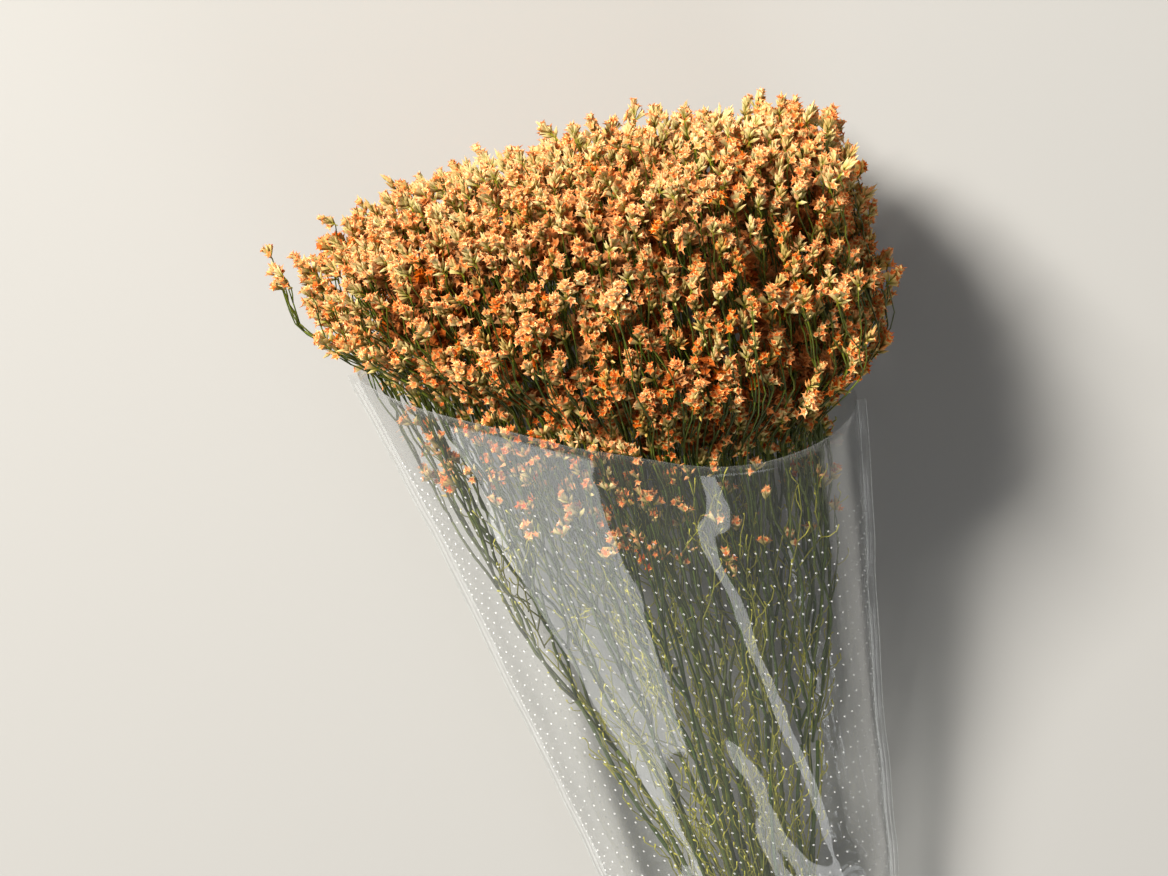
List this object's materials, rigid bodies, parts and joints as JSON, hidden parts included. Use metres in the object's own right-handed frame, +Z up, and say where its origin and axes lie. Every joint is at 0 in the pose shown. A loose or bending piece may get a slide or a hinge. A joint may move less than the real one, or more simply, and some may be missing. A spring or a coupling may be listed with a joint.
{
  "type": "dried statice bunch",
  "caption": "Sleeved bunch of orange dried statice lying on its side: thin tied stems that open into a dense domed head of small florets above a tapered clear film sleeve.",
  "frame": {"origin": "middle of the space that the bunch takes up, at the height of the surface it lies on", "axes": "+Z up from the surface, +Y along the stems from their cut ends to the flowers, +X to the right when looking down with the flowers at the top"},
  "size_m": [0.3018, 0.6982, 0.2111],
  "materials": {
    "sleeve_film": "thin clear gloss film",
    "band_rubber": "matte natural rubber",
    "statice": "dry papery florets in peach, cream and orange on olive green stems"
  },
  "bodies": {
    "root": {"sleeve": "sleeve_film", "rubber_band": "band_rubber", "spray_01": "statice", "spray_02": "statice", "spray_03": "statice", "spray_04": "statice", "spray_05": "statice", "spray_06": "statice", "spray_07": "statice", "spray_08": "statice", "spray_09": "statice", "spray_10": "statice", "spray_11": "statice", "spray_12": "statice", "spray_13": "statice", "spray_14": "statice", "spray_15": "statice", "spray_16": "statice", "spray_17": "statice", "spray_18": "statice", "spray_19": "statice", "spray_20": "statice", "spray_21": "statice", "spray_22": "statice"}
  },
  "joints": []
}
